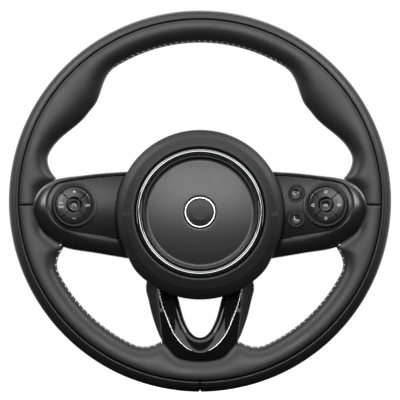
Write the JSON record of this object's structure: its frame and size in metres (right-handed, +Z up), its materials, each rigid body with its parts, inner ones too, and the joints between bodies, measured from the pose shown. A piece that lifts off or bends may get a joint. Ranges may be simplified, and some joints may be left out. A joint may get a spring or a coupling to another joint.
{
  "type": "car steering wheel",
  "caption": "Leather-covered car steering wheel with thumb grips, switch pods, a gloss lower spoke and a round airbag module that presses for the horn.",
  "frame": {"origin": "on the steering column's axis, at the rear face of the hub bush", "axes": "+X to the driver's right, +Z up the wheel to twelve o'clock, -Y towards the driver and +Y along the column away from the driver"},
  "size_m": [0.37, 0.0879, 0.37],
  "materials": {
    "leather": "fine grain, satin",
    "band": "smooth, satin",
    "foam": "moulded foam",
    "casting": "as cast",
    "steel": "plain",
    "zinc": "zinc plated",
    "shell": "satin black",
    "panel": "fine texture, satin black",
    "rear": "matt black",
    "key": "soft-touch black",
    "bezel": "black",
    "piano": "high gloss black",
    "cover": "soft, grained",
    "disc": "satin black",
    "bright": "polished",
    "coin": "turned, satin",
    "board": "solder mask",
    "mat": "silicone",
    "cushion": "folded nylon"
  },
  "bodies": {
    "wheel": {"armature": "casting", "hub_bush": "steel", "rim_foam": "foam", "rim_band": "band", "upper_rim_leather": "leather", "lower_rim_leather": "leather", "back_cover": "rear", "back_cover_screws": "zinc", "left_spoke_shell": "shell", "right_spoke_shell": "shell", "left_spoke_back": "rear", "right_spoke_back": "rear", "left_spoke_panel": "panel", "right_spoke_panel": "panel", "left_switch_housing": "bezel", "right_switch_housing": "bezel", "left_switch_board": "board", "right_switch_board": "board", "left_switch_mat": "mat", "right_switch_mat": "mat", "call_switch_housing": "bezel", "call_switch_board": "board", "lower_spoke_trim": "piano", "lower_spoke_back": "shell", "horn_springs": "steel"},
    "airbag_module": {"airbag_cover": "cover", "trim_ring": "bright", "centre_disc": "disc", "medallion": "coin", "airbag_housing": "zinc", "inflator": "steel", "airbag_cushion": "cushion", "retainer_ring": "zinc", "inflator_nuts": "zinc", "horn_guides": "zinc"},
    "left_key_up": {"left_key_up": "key"},
    "left_key_down": {"left_key_down": "key"},
    "left_key_left": {"left_key_left": "key"},
    "left_key_right": {"left_key_right": "key"},
    "left_key_centre": {"left_key_centre": "key"},
    "right_key_up": {"right_key_up": "key"},
    "right_key_down": {"right_key_down": "key"},
    "right_key_left": {"right_key_left": "key"},
    "right_key_right": {"right_key_right": "key"},
    "right_key_centre": {"right_key_centre": "key"},
    "voice_key": {"voice_key": "key"},
    "phone_key": {"phone_key": "key"}
  },
  "joints": [
    {"name": "horn_press", "type": "slide", "parent": "wheel", "child": "airbag_module", "axis": [0, 1, 0], "range_m": [0, 0.0018], "stiffness_N_per_m": 9000, "springref_m": -0.003, "deforming": ["horn_springs"]},
    {"name": "left_key_up_press", "type": "slide", "parent": "wheel", "child": "left_key_up", "axis": [-0.2419, 0.9703, 0], "range_m": [0, 0.0008], "stiffness_N_per_m": 1200, "springref_m": -0.001},
    {"name": "left_key_down_press", "type": "slide", "parent": "wheel", "child": "left_key_down", "axis": [-0.2419, 0.9703, 0], "range_m": [0, 0.0008], "stiffness_N_per_m": 1200, "springref_m": -0.001},
    {"name": "left_key_left_press", "type": "slide", "parent": "wheel", "child": "left_key_left", "axis": [-0.2419, 0.9703, 0], "range_m": [0, 0.0008], "stiffness_N_per_m": 1200, "springref_m": -0.001},
    {"name": "left_key_right_press", "type": "slide", "parent": "wheel", "child": "left_key_right", "axis": [-0.2419, 0.9703, 0], "range_m": [0, 0.0008], "stiffness_N_per_m": 1200, "springref_m": -0.001},
    {"name": "left_key_centre_press", "type": "slide", "parent": "wheel", "child": "left_key_centre", "axis": [-0.2419, 0.9703, 0], "range_m": [0, 0.0008], "stiffness_N_per_m": 1200, "springref_m": -0.001},
    {"name": "right_key_up_press", "type": "slide", "parent": "wheel", "child": "right_key_up", "axis": [0.2419, 0.9703, 0], "range_m": [0, 0.0008], "stiffness_N_per_m": 1200, "springref_m": -0.001},
    {"name": "right_key_down_press", "type": "slide", "parent": "wheel", "child": "right_key_down", "axis": [0.2419, 0.9703, 0], "range_m": [0, 0.0008], "stiffness_N_per_m": 1200, "springref_m": -0.001},
    {"name": "right_key_left_press", "type": "slide", "parent": "wheel", "child": "right_key_left", "axis": [0.2419, 0.9703, 0], "range_m": [0, 0.0008], "stiffness_N_per_m": 1200, "springref_m": -0.001},
    {"name": "right_key_right_press", "type": "slide", "parent": "wheel", "child": "right_key_right", "axis": [0.2419, 0.9703, 0], "range_m": [0, 0.0008], "stiffness_N_per_m": 1200, "springref_m": -0.001},
    {"name": "right_key_centre_press", "type": "slide", "parent": "wheel", "child": "right_key_centre", "axis": [0.2419, 0.9703, 0], "range_m": [0, 0.0008], "stiffness_N_per_m": 1200, "springref_m": -0.001},
    {"name": "voice_key_press", "type": "slide", "parent": "wheel", "child": "voice_key", "axis": [0.2419, 0.9703, 0], "range_m": [0, 0.0008], "stiffness_N_per_m": 1200, "springref_m": -0.001},
    {"name": "phone_key_press", "type": "slide", "parent": "wheel", "child": "phone_key", "axis": [0.2419, 0.9703, 0], "range_m": [0, 0.0008], "stiffness_N_per_m": 1200, "springref_m": -0.001}
  ]
}
